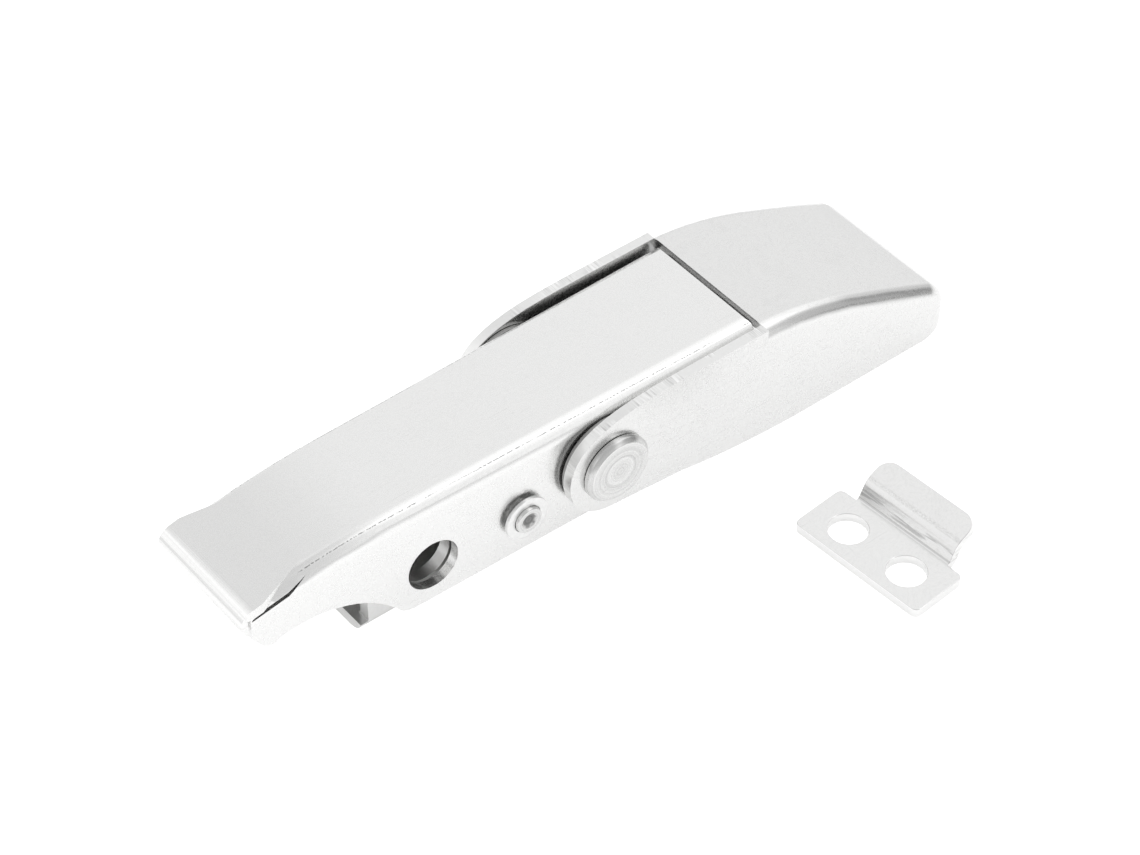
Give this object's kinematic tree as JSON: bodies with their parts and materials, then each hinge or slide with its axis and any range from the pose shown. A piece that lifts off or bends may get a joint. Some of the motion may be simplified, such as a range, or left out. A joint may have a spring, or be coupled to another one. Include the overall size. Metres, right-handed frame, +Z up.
{
  "type": "toggle latch",
  "caption": "Over-centre draw latch in stainless sheet: channel base, handle lever with padlock hole and finger lip, pinned claw with a drawn nose, and a loose hooked keeper plate.",
  "frame": {"origin": "On the mounting plane under the base, midway across the latch and straight below the axis of the claw pin.", "axes": "+X runs along the latch from the finger lip to the nose of the claw, +Y across it, +Z up from the mounting plane."},
  "size_m": [0.1163, 0.0642, 0.0196],
  "materials": {
    "base_steel": "passivated stainless sheet, satin, inside the lever",
    "lever_steel": "tumbled and polished stainless sheet with a fine orange-peel grain and hairline scratches",
    "claw_steel": "polished stainless sheet, deep drawn, bright on its walls and hazy on its top",
    "turned_steel": "turned stainless bar, concentric tool marks on the end faces",
    "washer_steel": "stamped stainless washer, satin",
    "keeper_steel": "polished stainless sheet with rounded sheared edges"
  },
  "bodies": {
    "base": {"base_channel": "base_steel", "lever_pivot_pin": "turned_steel", "lever_pivot_washer_near": "washer_steel", "lever_pivot_washer_far": "washer_steel", "keeper_plate": "keeper_steel"},
    "lever": {"handle_lever": "lever_steel", "claw_pin": "turned_steel", "claw_spacer_near": "washer_steel", "claw_spacer_far": "washer_steel", "stop_pin": "turned_steel", "stop_pin_washer_near": "washer_steel", "stop_pin_washer_far": "washer_steel"},
    "claw": {"claw": "claw_steel"}
  },
  "joints": [
    {"name": "lever_hinge", "type": "hinge", "parent": "base", "child": "lever", "pos_m": [0.014, 0, 0.0112], "axis": [0, 1, 0], "range_deg": [0, 75]},
    {"name": "claw_hinge", "type": "hinge", "parent": "lever", "child": "claw", "pos_m": [0, 0, 0.01086], "axis": [0, 1, 0], "range_deg": [-100, 0]}
  ]
}
